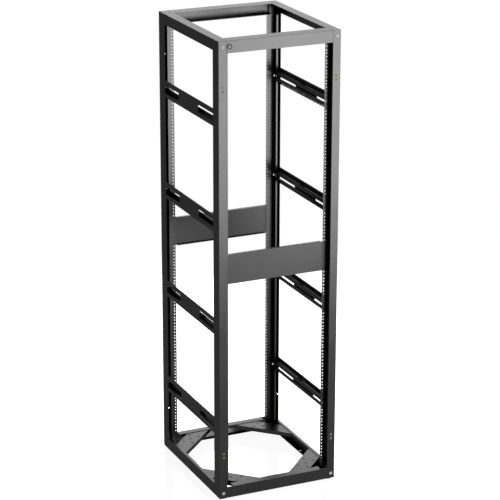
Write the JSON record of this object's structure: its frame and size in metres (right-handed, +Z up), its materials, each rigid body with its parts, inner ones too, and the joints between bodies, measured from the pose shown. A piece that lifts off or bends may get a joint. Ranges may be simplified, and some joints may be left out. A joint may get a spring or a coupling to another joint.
{
  "type": "four post open frame rack",
  "caption": "Tall open equipment rack frame of folded steel posts, slotted side braces, drilled rack rails, blank panels and base corner gussets.",
  "frame": {"origin": "middle of the footprint, on the floor", "axes": "+Z up, -Y towards the front with the round plug, +X to the right seen from the front"},
  "size_m": [0.563, 0.6526, 2.0668],
  "materials": {
    "frame_paint": "black powder coat, satin",
    "rail_paint": "black powder coat, satin",
    "panel_paint": "black powder coat, satin",
    "plug_finish": "dark grey, satin",
    "foot_steel": "zinc plated"
  },
  "bodies": {
    "root": {"base_front_member": "frame_paint", "base_left_member": "frame_paint", "base_rear_member": "frame_paint", "base_right_member": "frame_paint", "front_left_foot": "foot_steel", "front_left_gusset": "frame_paint", "front_left_post": "frame_paint", "front_left_rail": "rail_paint", "front_panel": "panel_paint", "front_right_foot": "foot_steel", "front_right_gusset": "frame_paint", "front_right_post": "frame_paint", "front_right_rail": "rail_paint", "left_brace_1": "frame_paint", "left_brace_2": "frame_paint", "left_brace_3": "frame_paint", "left_brace_4": "frame_paint", "rear_left_foot": "foot_steel", "rear_left_gusset": "frame_paint", "rear_left_post": "frame_paint", "rear_left_rail": "rail_paint", "rear_panel": "panel_paint", "rear_right_foot": "foot_steel", "rear_right_gusset": "frame_paint", "rear_right_post": "frame_paint", "rear_right_rail": "rail_paint", "right_brace_1": "frame_paint", "right_brace_2": "frame_paint", "right_brace_3": "frame_paint", "right_brace_4": "frame_paint", "round_plug": "plug_finish", "top_front_member": "frame_paint", "top_left_member": "frame_paint", "top_rear_member": "frame_paint", "top_right_member": "frame_paint"}
  },
  "joints": []
}
